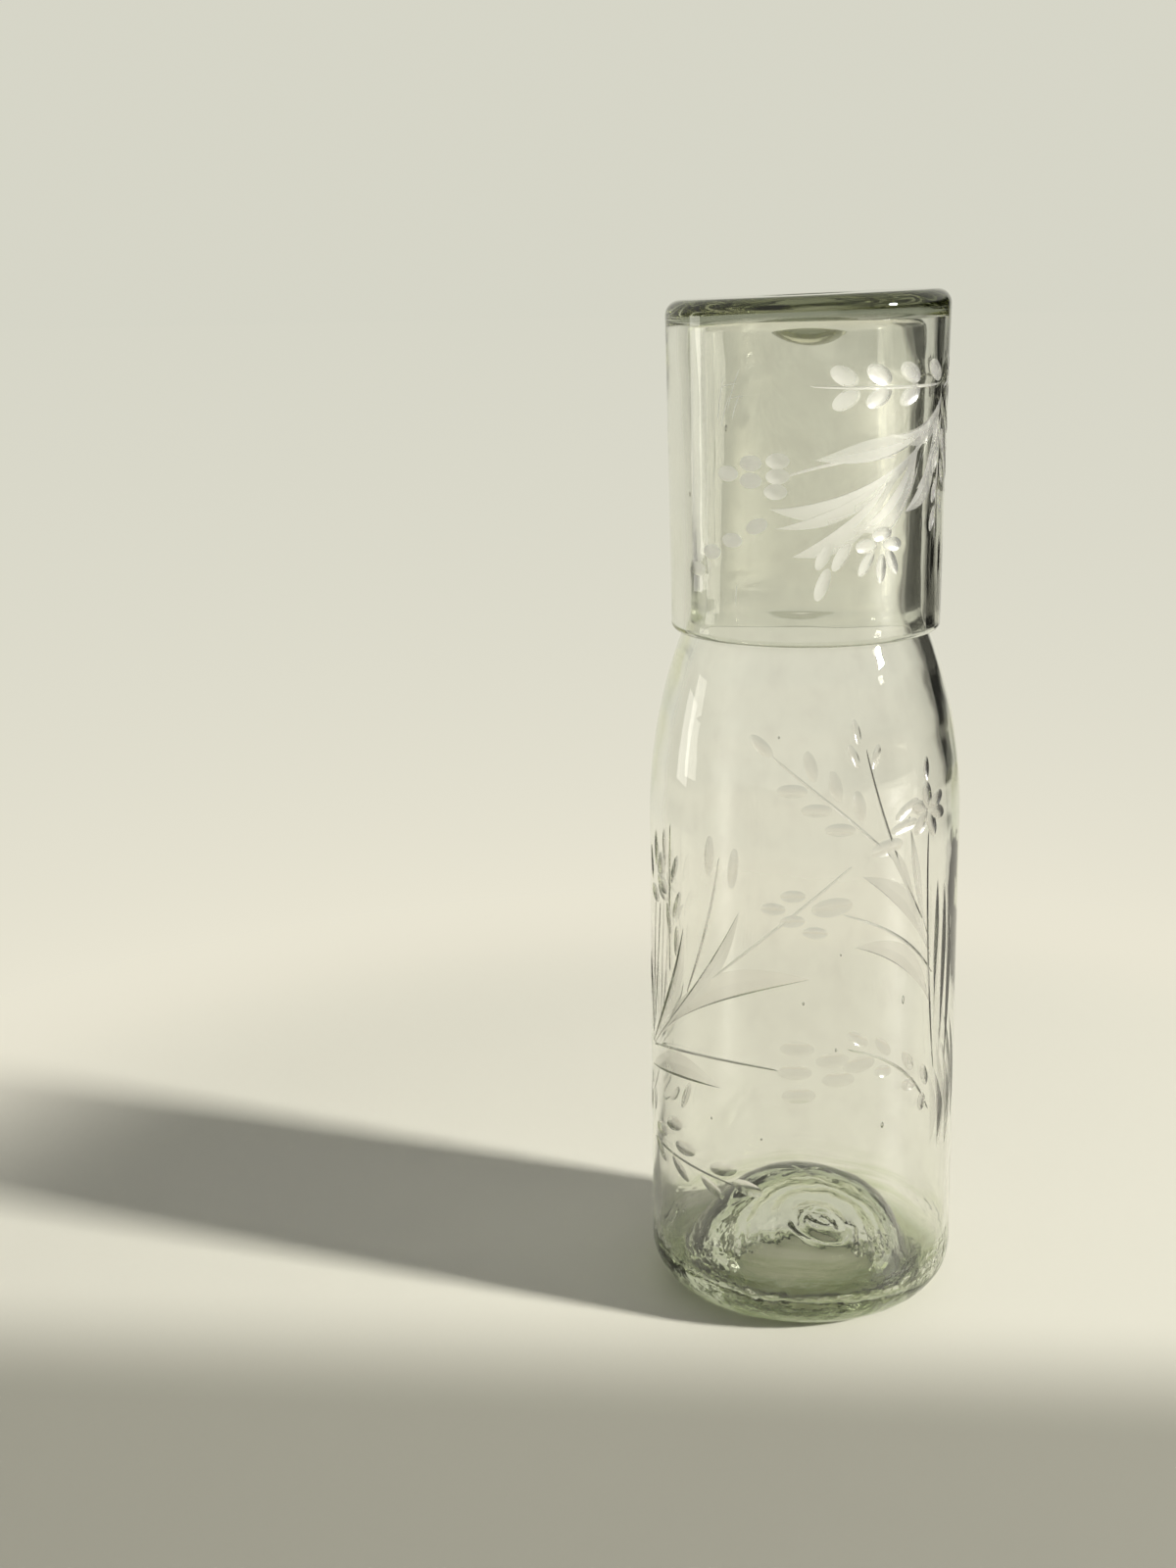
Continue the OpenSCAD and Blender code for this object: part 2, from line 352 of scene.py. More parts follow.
def carafe_cuts():
    """Two sprays that lean together across the front, from roots at the left and the right."""
    root = (-51, 66.5)
    left = leaf((-50, 66.8), (2, 94.7), 4, 6.6, 0.5, 0.66)
    left += leaf((-50, 67.5), (-15.3, 110.8), -3, -3.8, 0.45, 0.62)
    left += leaf((-51.5, 67), (-32.6, 103.2), -2.1, -4.2, 0.55, 0.6)
    left += leaf((-53, 60.8), (-20.5, 64.5), 0.6, 6.4, 0.6, 0.56)
    left += stem((-31.3, 86.5), (-20.6, 123.5), -1.6)
    left += stem((-24, 91), (12, 122.5))
    left += stem((-50, 67), (-5.5, 71.2), 2.1)
    left += petals([(-23.7, 123.2, 87), (-17, 121, 84)], 10.2, 2.8)
    left += petals([(-7, 112, 0), (-2.3, 115.3, 3), (-2.4, 109.1, 5), (3, 106.3, -5)], 6, 3)
    left += petal((7, 112.5), 10, 4.6, 8)
    left += petals([(-1.5, 71, 0), (-1, 77, 0), (-0.5, 65, 3), (9, 69, 0), (7.5, 74, 3)], 8.2, 3.8)
    left += stem((-50, 42), (-16.5, 39.3), 0.5)
    left += petals([(-43.9, 46.4, 10), (-37.2, 50.2, 15), (-32.6, 45, 4)], 8, 3.8)
    left += petals([(-20, 43.2, 10), (-13.2, 39.5, -14)], 8, 3.8)
    left += petals([(-34.6, 38.7, -32), (-23.3, 37.4, -31), (-44.8, 40.4, -29)], 8.2, 2.9)
    left += petal((-32, 59.5), 8.6, 2.2, 66)
    # The flower at the left edge
    left += petals([(-43, 116.6, 90), (-42.6, 112, -24), (-48, 108.2, -13)], 7, 4.2)
    left += petals([(-46.9, 120, 90), (-51.5, 115.5, 105)], 9.6, 2.8)
    left += petals([(-36.1, 117.2, 69), (-35.2, 108.3, 67), (-35.4, 99, 86), (-39, 103.8, 100)], 8.2, 2.2)
    left += stem((-50.5, 70), (-47.6, 106.5))
    left += stem((-49.5, 72), (-43.9, 107), -0.6)
    left += stem((-38.6, 90), (-37.8, 128.5))
    # The leaves that go round to the side
    left += leaf(root, (-74, 98), -6, -6, 0.5, 0.66)
    left += leaf((-52, 66), (-76, 76), 3, 4.5, 0.5, 0.66)
    left += leaf((-52, 70), (-62, 108), 3, 4, 0.45, 0.68)
    left += twig((-52, 60), (-72, 45), 3, (0.35, 0.65), 3.2, 6.5, 3)

    heart = (39, 66)
    right = leaf((37.3, 82), (12.6, 102.3), -3, -5, 0.5, 0.62)
    right += leaf((36.6, 95.3), (14.4, 119.6), -1.5, -4.6, 0.5, 0.62)
    right += leaf((35.2, 98.5), (20, 127), -0.4, -2.6, 0.45, 0.76)
    right += leaf((35.4, 100.5), (28, 129.5), 1.8, -2.4, 0.45, 0.62)
    right += leaf((38.4, 82), (39, 115), 0.9, -1.9, 0.5)
    right += leaf((41.5, 72), (42.8, 113), 0.6, -2.4, 0.5)
    right += leaf((44.5, 62), (46.5, 106), 0.6, -2.6, 0.5)
    right += stem((37.2, 91.4), (9.4, 110.8), -3)
    right += stem((38.5, heart[1]), (34.6, 128), 1)
    right += flower((34.5, 133), 3.8, (30, 95, 160, 225, 290, 345), 6.8, 3.6)
    right += petals([(27, 134.5, 28), (26, 130.5, 12)], 8.5, 3)
    right += petal((34.5, 143), 6, 2.2, 80)
    right += stem((33, 106), (16, 150), 2)
    right += petals([(13.5, 154, 100), (12.5, 148.5, 112), (18.5, 148, 70)], 6, 2.2)
    right += twig((24, 122), (-8, 149), -1, (0.42, 0.6, 0.78), 3.6, 7.5, 3.2)
    right += petal((21, 126), 9, 4, 10)
    right += stem((36.4, 56), (11, 76.8), -4)
    right += petals([(13.8, 79, -36), (20.6, 76.2, -51), (28.2, 71, -58), (34.3, 65.8, -70)], 6.2, 2.8)
    right += petal((14.2, 72.4), 8.4, 3.9, 8)
    right += petals([(20.7, 69.8, -10), (28.5, 64.6, -14), (33.4, 59, 85)], 4.7, 3.1)
    right += leaf(heart, (41, 44), 0.8, 3.4, 0.55)
    right += leaf((43, 72), (46, 43), 0.8, 3.6, 0.55)
    right += leaf((48, 78), (52, 48), 0.8, 3.8, 0.55)
    return left + right


def tumbler_cuts():
    """A spray that hangs down to the left from a point at the right, near the base."""
    root = (41, 231)
    spray = leaf((40, 230), (2, 217), 6, -5, 0.5, 0.66)
    spray += leaf((36, 224), (-8.5, 206), 4, 5, 0.5, 0.66)
    spray += leaf((30, 219), (-7, 201.5), 2, 3.2, 0.45, 0.62)
    spray += leaf((27, 218), (-3, 195), 1.5, 5, 0.5, 0.66)
    spray += leaf((30, 222), (12, 200), 2, 5, 0.5, 0.62)
    spray += leaf((36, 224), (25, 204), 2, 4.5, 0.5, 0.62)
    spray += leaf((40, 226), (29, 209), 1, 3, 0.45, 0.62)
    spray += leaf((40, 230), (20, 222), 3, 4, 0.45, 0.5)
    spray += stem((22, 217), (-5, 213.5), -1.5)
    spray += petals([(-19, 214, 0), (-13, 216.5, 0), (-13, 212.5, 0)], 5.6, 3.7)
    spray += petals([(-6.5, 217, 0), (-6.5, 213.5, 0), (-7, 210, 0)], 5.6, 3.7)
    spray += stem((38, 232.5), (0.5, 233.8), 0.3)
    spray += petals([(8.5, 235.5, -28), (17, 235.5, -28), (26, 235.5, -28), (36, 235.5, -30)], 7.2, 4.2)
    spray += petals([(9, 230.3, 28), (17, 230.5, 28), (26, 230.5, 28)], 7.2, 4.2)
    spray += stem((20, 212), (6, 198), 1)
    spray += petals([(4.5, 195.5, 62), (8.5, 195, 58), (4, 188.5, 70)], 8, 3)
    spray += stem((29, 214), (20, 200), 0.8)
    spray += petals([(18.5, 199.5, 8), (14.5, 197, 5), (21.5, 197, -5)], 5.6, 3.4)
    spray += petals([(14.5, 193, 60), (18.5, 191.5, 88), (21.5, 193, 118)], 6.8, 2.8)
    spray += stem((40, 226), (38, 196), -1)
    spray += petals([(37, 222, 70), (37, 215, 70), (37, 208, 70), (36.5, 201.5, 70)], 6.2, 2.6)
    spray += petals([(41.5, 219, 110), (41.5, 212, 110), (41, 205, 110)], 6.2, 2.6)
    spray += petals([(-11.5, 202, 20), (-18, 198.5, 0), (-24, 195.5, 0), (-29, 191, 0)], 5.6, 3.5)
    # Scratches
    for start, end in (
        ((-21.6, 226), (-19.8, 236.5)),
        ((-20.6, 224.5), (-18.2, 232)),
        ((-19, 228), (-15.6, 238)),
        ((-18.6, 231), (-14.4, 231.6)),
        ((-21.2, 233.4), (-16, 234.6)),
        ((-17.6, 226.4), (-15.4, 232.4)),
        ((-16.9, 183), (-16.5, 188.5)),
    ):
        spray += stem(start, end, 0.2, 0.22, 0.08)
    # The side of the spray that goes round the tumbler
    spray += leaf((41, 229), (57, 206), -3, -4.5, 0.5, 0.64)
    spray += leaf((42, 231), (60, 218), -3, -4.5, 0.5, 0.64)
    spray += twig(root, (62, 233), 1, (0.35, 0.65), 3, 6, 3.4)
    return spray


# Wall with cuts: the unrolled wall is triangulated along every edge of every cut

def petal_frame(cut, points):
    """Places in a petal's own frame, as shares of its half sizes."""
    c, s = math.cos(cut["turn"]), math.sin(cut["turn"])
    x, y = (points - np.array(cut["place"])).T
    along = (x * c + y * s) / cut["half"][0]
    across = (y * c - x * s) / cut["half"][1]
    return np.stack([along, across], axis=1)


def ribbon_frame(cut, points):
    """Share, width, depth and distance across a ribbon at places; off it the share is outside 0 to 1."""
    a, b = cut["points"][:-1], cut["points"][1:]
    run = b - a
    t = ((points[:, None, :] - a) * run).sum(axis=2) / (run**2).sum(axis=1)
    off = points[:, None, :] - (a + run * np.clip(t, 0, 1)[:, :, None])
    near = (off**2).sum(axis=2).argmin(axis=1)
    rows = np.arange(len(points))
    t = np.clip(t[rows, near], 0, 1)

    def blend(values):
        return values[near] * (1 - t) + values[near + 1] * t

    across = (off[rows, near] * cut["across"][near]).sum(axis=1)
    end = ((near == 0) & (t <= 0)) | ((near == len(a) - 1) & (t >= 1))
    width = blend(cut["width"])
    wide = np.abs(width) > TINY
    share = np.where(wide, across / np.where(wide, width, 1.0), -1.0)
    return np.where(end, -1.0, share), np.abs(width), blend(cut["depth"]), across


def cut_box(cut, margin):
    """Lowest and highest corner of a cut, with a margin."""
    if "place" in cut:
        centre, reach = np.array(cut["place"]), max(cut["half"])
        return centre - reach - margin, centre + reach + margin
    edge = np.vstack([cut["points"], cut["points"] + cut["across"] * cut["width"][:, None]])
    return edge.min(axis=0) - margin, edge.max(axis=0) + margin


def inside_box(points, box):
    """Which places lie inside a box."""
    return np.nonzero(((points > box[0]) & (points < box[1])).all(axis=1))[0]


def cut_depths(points, cuts):
    """Depth of the deepest cut at each place, and its share of that cut's greatest depth."""
    depth = np.zeros(len(points))
    part = np.zeros(len(points))
    for cut in cuts:
        near = inside_box(points, cut_box(cut, BOX_MARGIN))
        if not len(near):
            continue
        if "place" in cut:
            far = (petal_frame(cut, points[near]) ** 2).sum(axis=1)
            here = cut["deep"] * np.clip(1 - far, 0, 1)
            most = cut["deep"]
        else:
            share, _, deep, _ = ribbon_frame(cut, points[near])
            at, level = zip(*cut["section"])
            here = deep * np.where((share > 0) & (share < 1), np.interp(share, at, level), 0.0)
            most = cut["depth"].max()
        depth[near] = np.maximum(depth[near], here)
        part[near] = np.maximum(part[near], here / most)
    cut_in = depth > SHALLOWEST
    return np.where(cut_in, depth, 0.0), np.where(cut_in, part, 0.0)


def bare(points, cuts):
    """Which places lie clear of every cut."""
    clear = np.ones(len(points), bool)
    for cut in cuts:
        near = inside_box(points, cut_box(cut, GRID_MARGIN))
        if not len(near):
            continue
        if "place" in cut:
            far = np.sqrt((petal_frame(cut, points[near]) ** 2).sum(axis=1))
            hit = far < 1 + GRID_MARGIN / min(cut["half"])
        else:
            _, width, _, across = ribbon_frame(cut, points[near])
            towards = across * np.sign(cut["width"].sum())
            hit = (towards > -GRID_MARGIN) & (towards < width + GRID_MARGIN)
        clear[near[hit]] = False
    return clear


def cut_lines(cut):
    """The closed and open lines that the wall is triangulated along, as lists of places."""
    if "place" in cut:
        turns = np.linspace(0, 2 * np.pi, PETAL_POINTS, endpoint=False)
        c, s = math.cos(cut["turn"]), math.sin(cut["turn"])
        for ring in PETAL_RINGS:
            x, y = cut["half"][0] * ring * np.cos(turns), cut["half"][1] * ring * np.sin(turns)
            loop = np.stack([x * c - y * s, x * s + y * c], axis=1) + np.array(cut["place"])
            yield np.vstack([loop, loop[:1]])
        return
    for share, _ in cut["section"]:
        yield cut["points"] + cut["across"] * (cut["width"] * share)[:, None]


def cut_wall(radius, low, high, cuts):
    """Triangles of the unrolled wall between two heights: places, faces, depths and shares of depth."""
    left, right = SEAM * radius, (SEAM + 2 * math.pi) * radius
    places, edges = [], []

    def line(points):
        first = len(places)
        places.extend(Vector(p) for p in points)
        edges.extend((i, i + 1) for i in range(first, len(places) - 1))

    round_steps = np.linspace(left, right, COLUMNS + 1)
    up_steps = np.linspace(low, high, math.ceil((high - low) / GRID_STEP) + 1)
    for z in (low, high):
        line([(u, z) for u in round_steps])
    for u in (left, right):
        line([(u, z) for z in up_steps])
    for cut in cuts:
        for points in cut_lines(cut):
            line(points)
    grid = []
    for i, z in enumerate(up_steps[1:-1]):
        row = np.arange(left + GRID_STEP * GRID_STARTS[i % 2], right - GRID_STEP * GRID_END, GRID_STEP)
        grid.append(np.stack([row, np.full_like(row, z)], axis=1))
    grid = np.vstack(grid)
    places.extend(Vector(p) for p in grid[bare(grid, cuts)])
    made, _, faces, *_ = delaunay_2d_cdt(places, edges, [], 0, SAME_PLACE)
    made = np.array([tuple(p) for p in made])
    return made, faces, *cut_depths(made, cuts)


# Blown unevenness, in millimetres

# Waves of a wall: depth, waves round it, start, and the height over which they turn by a radian
OUTER_WAVES = ((0.14, 2, 0.6, 60), (0.08, 3, 0.0, -34), (0.05, 5, 0.0, 23))
INNER_WAVES = ((0.4, 1, 0.0, math.inf), (0.2, 2, -1.1, 45), (0.12, 4, 0.0, 29), (0.07, 7, 0.0, -17))
# Waves of the carafe's floor, which turn with the distance from the axis
FLOOR_WAVES = ((0.25, 3, 0.4, math.inf), (0.18, 5, 0.0, 6), (0.12, 9, 0.0, -3))
# Rings: depth, radians per millimetre outwards, twist, sway, waves of the sway round them, and its start
FLOOR_RINGS = ((0.05, 2.1, 0, 1.0, 2, 0.0), (0.03, 3.7, 0, -1.0, 3, 0.0), (0.1, 1.15, 0, 1.3, 3, 0.5))
SCAR_RINGS = ((0.2, 1.25, 1, 0.8, 2, 0.0), (0.08, 2.9, -2, 0.0, 1, 0.0), (0.07, 4.4, 0, 1.5, 3, 0.0))
# Fine level ripples inside: depth, height over which they turn by a radian, and sway
INNER_RIPPLE = (0.05, 3.1, 2.0)
# Heights over which the waves of a wall come in at its foot and die out at its top
OUTER_CALM = (30.0, 15.0)
INNER_CALM = (12.0, 10.0)
# Distances from the axis over which the waves inside the carafe and of its floor come in
AXIS_CALM_R = 12.0
FLOOR_CALM_R = 20.0
# Height above which the floor's unevenness has died out
FLOOR_EVEN_Z = 45.0
# Waves outside the tumbler, as a share of those outside the carafe, and the turn of those inside it
TUMBLER_WAVE = 0.8
TUMBLER_TURN = 1.0


def waves(rows, angle, along):
    """Sum of waves round a wall that wind along it."""
    return sum(depth * np.sin(count * angle + start + along / rise) for depth, count, start, rise in rows)


def rings(rows, far, turn):
    """Sum of rings about a point, at distances and turns from it."""
    return sum(
        depth * np.sin(pitch * far + twist * turn + sway * np.sin(count * turn + start))
        for depth, pitch, twist, sway, count, start in rows
    )


def outer_wave(angle, z, high):
    """Unevenness of an outside wall, still at the foot and towards the top."""
    still = np.clip(z / OUTER_CALM[0], 0, 1) * np.clip((high - z) / OUTER_CALM[1], 0, 1)
    return still * waves(OUTER_WAVES, angle, z)


def inner_wave(angle, z, low, high):
    """Unevenness of an inside wall, which no mould or wheel has touched."""
    still = np.clip((z - low) / INNER_CALM[0], 0, 1) * np.clip((high - z) / INNER_CALM[1], 0, 1)
    depth, rise, sway = INNER_RIPPLE
    return still * (waves(INNER_WAVES, angle, z) + depth * np.sin(z / rise + sway * np.sin(angle)))


def scar(x, y):
    """Twisted rings that the punty iron left under the foot, and the deeper ring where it was broken off."""
    dx, dy = x - SCAR_PLACE[0], y - SCAR_PLACE[1]
    far, turn = np.hypot(dx, dy), np.arctan2(dy, dx)
    mean, swell, start = SCAR_RING_SWELL
    broken = np.exp(-(((far - SCAR_RING_R) / SCAR_RING_W) ** 2)) * (mean + swell * np.sin(2 * turn + start))
    height = rings(SCAR_RINGS, far, turn) - SCAR_RING_H * broken
    still = np.clip(far / SCAR_CALM_R, SCAR_CALM, 1) * np.clip((SCAR_R - far) / SCAR_RUN_OUT, 0, 1)
    return height * still


def place_round(radius, angle, z):
    """Places at an angle from the front, counted towards +X."""
    return np.stack([radius * np.sin(angle), -radius * np.cos(angle), z], axis=-1)


def placed(name, data):
    """A new object in the scene."""
    made = bpy.data.objects.new(name, data)
    bpy.context.scene.collection.objects.link(made)
    return made


def add_seed(bm, place, width, length):
    """A small bubble drawn out upwards: a hollow inside the glass, so its faces look inwards."""
    made = bmesh.ops.create_icosphere(bm, subdivisions=2, radius=0.5)["verts"]
    for vert in made:
        vert.co = (Vector(place) + Vector((vert.co.x * width, vert.co.y * width, vert.co.z * length))) * MM
    faces = list({face for vert in made for face in vert.link_faces})
    bmesh.ops.reverse_faces(bm, faces=faces)
    for face in faces:
        face.smooth = True


def build_glass(name, outlines, wall_radius, unroll_r, zone, cuts, matt_and_light, seeds, wall, outside, inside):
    """One closed piece of glass: turned rows welded to the cut wall, with a few bubbles."""
    bm = bmesh.new()
    ground_and_painted_light = bm.faces.layers.float.new("ground_and_painted_light")
    angles = SEAM + np.arange(COLUMNS) * 2 * np.pi / COLUMNS

    def turned(rows, shape):
        loops = []
        for r, z in rows:
            at = np.zeros(1) if r < TINY else angles
            points = shape(np.full(len(at), r), at, np.full(len(at), z))
            loops.append([bm.verts.new(p * MM) for p in points])
        for a, b in zip(loops, loops[1:]):
            for i in range(COLUMNS):
                j = (i + 1) % COLUMNS
                if len(a) == 1:
                    bm.faces.new((a[0], b[j], b[i]))
                elif len(b) == 1:
                    bm.faces.new((a[i], a[j], b[0]))
                else:
                    bm.faces.new((a[i], a[j], b[j], b[i]))

    for rows, shape in zip(outlines, (outside, outside, inside)):
        turned(rows, shape)
    places, faces, depth, share = cut_wall(unroll_r, *zone, cuts)
    points = outside(wall_radius(places[:, 1]), places[:, 0] / unroll_r, places[:, 1], depth)
    verts = [bm.verts.new(p * MM) for p in points]
    # How matt each place of the wall is, which on the tumbler is also painted light and shade
    matt_and_light_levels = np.interp(places[:, 0], *matt_and_light)
    for face in faces:
        made = bm.faces.new([verts[i] for i in face])
        deepest = max(share[i] for i in face)
        level = np.mean(matt_and_light_levels[face]) * (GROUND_LEAST + (1 - GROUND_LEAST) * deepest)
        made[ground_and_painted_light] = level if deepest > 0 else 0.0
    bmesh.ops.remove_doubles(bm, verts=bm.verts, dist=WELD * MM)
    bmesh.ops.dissolve_degenerate(bm, edges=bm.edges, dist=SLIVER * MM)
    bmesh.ops.recalc_face_normals(bm, faces=bm.faces)
    for face in bm.faces:
        face.smooth = True
    for edge in bm.edges:
        pair = edge.link_faces
        edge.smooth = not (
            len(pair) == 2
            and pair[0][ground_and_painted_light] + pair[1][ground_and_painted_light] > 0
            and (pair[0][ground_and_painted_light] * pair[1][ground_and_painted_light] == 0 or edge.calc_face_angle(0.0) > CRISP)
        )
    for u, z, width, length in seeds:
        spot = place_round(wall_radius(z) - wall / 2, u / unroll_r, z)
        add_seed(bm, spot, width, length)
    mesh = bpy.data.meshes.new(name)
    bm.to_mesh(mesh)
    bm.free()
    return placed(name, mesh)


# Bubbles in the walls: distance round from the front, height, width and length, in millimetres
CARAFE_SEEDS = (
    (21.3, 55.4, 0.8, 1.7),
    (27.1, 86.7, 0.7, 2.4),
    (9.5, 100.3, 0.5, 0.6),
    (0.4, 88.3, 0.6, 0.9),
    (-6.5, 152.7, 0.5, 0.7),
    (-23.9, 55.5, 0.5, 0.8),
    (-9.9, 52.6, 0.5, 0.6),
    (-70.0, 61.0, 0.7, 1.8),
    (88.0, 118.0, 0.6, 1.4),
    (112.0, 48.0, 0.7, 1.1),
)
TUMBLER_SEEDS = (
    (-20.0, 224.0, 0.6, 1.6),
    (2.0, 204.0, 0.5, 0.9),
    (-33.0, 208.0, 0.5, 1.2),
    (80.0, 215.0, 0.6, 1.5),
)


def carafe_outside(r, angle, z, depth=0.0):
    """Where a point of the carafe's outside lands; its punt is off the axis and carries the scar."""
    wave = np.where(r > PUNT_R + FOOT_EDGE_R, outer_wave(angle, z, RIM_Z), 0.0)
    spot = place_round(r + wave - depth, angle, z)
    pushed = np.where(r < PUNT_R, np.clip(z / PUNT_H, 0, 1), 0.0)
    for axis in (0, 1):
        spot[..., axis] += PUNT_PLACE[axis] * pushed**2
    spot[..., 2] += scar(spot[..., 0], spot[..., 1]) * np.clip(pushed / SCAR_START, 0, 1)
    return spot


def carafe_inside(r, angle, z):
    """Where a point of the carafe's inside lands; its floor is uneven and leans."""
    wave = inner_wave(angle, z, FLOOR_T, LIP_Z) * np.clip(r / AXIS_CALM_R, 0, 1)
    spot = place_round(r + wave, angle, z)
    low = np.clip((FLOOR_EVEN_Z - z) / (FLOOR_EVEN_Z - FLOOR_T), 0, 1)
    ripple = waves(FLOOR_WAVES, angle, r) + rings(FLOOR_RINGS, r, angle)
    spot[..., 2] += low * (ripple * np.clip(r / FLOOR_CALM_R, 0, 1) - FLOOR_TILT * spot[..., 0])
    return spot


def leaned(spot):
    """The same place on the tumbler, whose base isn't level."""
    spot[..., 2] += BASE_TILT * spot[..., 0] * (spot[..., 2] - RIM_Z) / (TOP_Z - RIM_Z)
    return spot


def tumbler_outside(r, angle, z, depth=0.0):
    """Where a point of the tumbler's outside lands."""
    wave = TUMBLER_WAVE * outer_wave(angle, z - RIM_Z, TOP_Z - RIM_Z) * np.clip(r / BASE_R, 0, 1)
    return leaned(place_round(r + wave - depth, angle, z))


def tumbler_inside(r, angle, z):
    """Where a point of the tumbler's inside lands."""
    wave = inner_wave(angle + TUMBLER_TURN, z, RIM_Z, TOP_Z - BASE_T) * np.clip(r / BASE_R, 0, 1)
    return leaned(place_round(r + wave, angle, z))


carafe = build_glass(
    "carafe_glass",
    outlines=carafe_outlines(),
    wall_radius=carafe_radius,
    unroll_r=BODY_R,
    zone=CARAFE_CUTS,
    cuts=carafe_cuts(),
    matt_and_light=CARAFE_MATT,
    seeds=CARAFE_SEEDS,
    wall=BODY_WALL,
    outside=carafe_outside,
    inside=carafe_inside,
)
tumbler = build_glass(
    "tumbler_glass",
    outlines=tumbler_outlines(),
    wall_radius=tumbler_radius,
    unroll_r=(RIM_R + BASE_R) / 2,
    zone=TUMBLER_CUTS,
    cuts=tumbler_cuts(),
    matt_and_light=TUMBLER_MATT_PAINTED_LIGHT,
    seeds=TUMBLER_SEEDS,
    wall=TUMBLER_WALL,
    outside=tumbler_outside,
    inside=tumbler_inside,
)


# Materials

# Tints of the thin walls, and of the clouds in them
THIN_TINT = (0.992, 0.992, 0.977)
CLOUD_TINT = (0.955, 0.95, 0.935)
# Clouds: their scale per metre, detail, and the levels of noise between which they come in
CLOUD_SCALE = (170, 170, 130)
CLOUD_DETAIL = 4.0
CLOUD_RANGE = (0.45, 0.75)
# Cords of darker glass that lie level in the thick ends
CORD_TINT = (0.75, 0.8, 0.63)
CORD_SCALE = (45, 45, 700)
CORD_DETAIL = 3.0
CORD_RANGE = (0.4, 0.7)
# Waves of the glass's skin, per metre, their detail, and their depth in metres
STREAK_SCALE = (220, 220, 16)
MOTTLE_SCALE = (75, 75, 60)
CHILL_SCALE = (260, 260, 380)
SKIN_DETAIL = 2.0
BUMP_DEPTH = 0.0006
# Refraction of the glass, and how dense its own colour is
GLASS_IOR = 1.5
GLASS_DENSITY = 100.0
# Heights between which the tumbler's base takes on its dark tint, between which its rim takes on a band of
# painted shade that stands in for the dark line along its edge, and between which its skin comes in
BASE_TINT_Z = (TOP_Z - 4.4, TOP_Z - 2.2)
RIM_PAINTED_SHADE_Z = (RIM_Z + 0.8, RIM_Z + 0.4)
TUMBLER_SKIN_Z = (TOP_Z - 6, TOP_Z - 12)


def node(tree, kind, **settings):
    """A new shader node with these settings."""
    made = tree.nodes.new(kind)
    for key, value in settings.items():
        setattr(made, key, value)
    return made


def rising(tree, value, start, end):
    """A value that goes smoothly from 0 to 1 while another goes from start to end."""
    step = node(tree, "ShaderNodeMapRange", interpolation_type="SMOOTHSTEP")
    step.inputs["From Min"].default_value = start
    step.inputs["From Max"].default_value = end
    tree.links.new(value, step.inputs["Value"])
    return step.outputs["Result"]


def product(tree, first, second):
    """Two values multiplied."""
    times = node(tree, "ShaderNodeMath", operation="MULTIPLY")
    tree.links.new(first, times.inputs[0])
    tree.links.new(second, times.inputs[1])
    return times.outputs["Value"]


def coloured_mix(tree, share, first, second):
    """A mix of two colours, each a tuple or a socket, by a socket."""
    mix = node(tree, "ShaderNodeMix", data_type="RGBA")
    tree.links.new(share, mix.inputs[0])
    for slot, colour in ((6, first), (7, second)):
        if isinstance(colour, tuple):
            mix.inputs[slot].default_value = (*colour, 1)
        else:
            tree.links.new(colour, mix.inputs[slot])
    return mix.outputs[2]


def coordinates(tree, kind="Object"):
    """A place or a direction, whole and as its parts X, Y and Z."""
    where = node(tree, "ShaderNodeTexCoord").outputs[kind]
    split = node(tree, "ShaderNodeSeparateXYZ")
    tree.links.new(where, split.inputs["Vector"])
    return where, split.outputs


def by_height(tree, low, high):
    """A value that goes from 0 to 1 between two heights."""
    return rising(tree, coordinates(tree)[1]["Z"], low * MM, high * MM)


def scaled_noise(tree, scale, detail):
    """Noise in the object's own coordinates, stretched by these scales."""
    stretch = node(tree, "ShaderNodeMapping")
    stretch.inputs["Scale"].default_value = scale
    tree.links.new(node(tree, "ShaderNodeTexCoord").outputs["Object"], stretch.inputs["Vector"])
    noise = node(tree, "ShaderNodeTexNoise")
    noise.inputs["Scale"].default_value = 1.0
    noise.inputs["Detail"].default_value = detail
    tree.links.new(stretch.outputs["Vector"], noise.inputs["Vector"])
    return noise.outputs["Fac"]


def from_ground(tree, ground_and_painted_light, smooth, cut):
    """A value that is one number on the smooth wall and another inside the cuts."""
    value = node(tree, "ShaderNodeMapRange")
    value.inputs["To Min"].default_value = smooth
    value.inputs["To Max"].default_value = cut
    tree.links.new(ground_and_painted_light, value.inputs["Value"])
    return value.outputs["Result"]


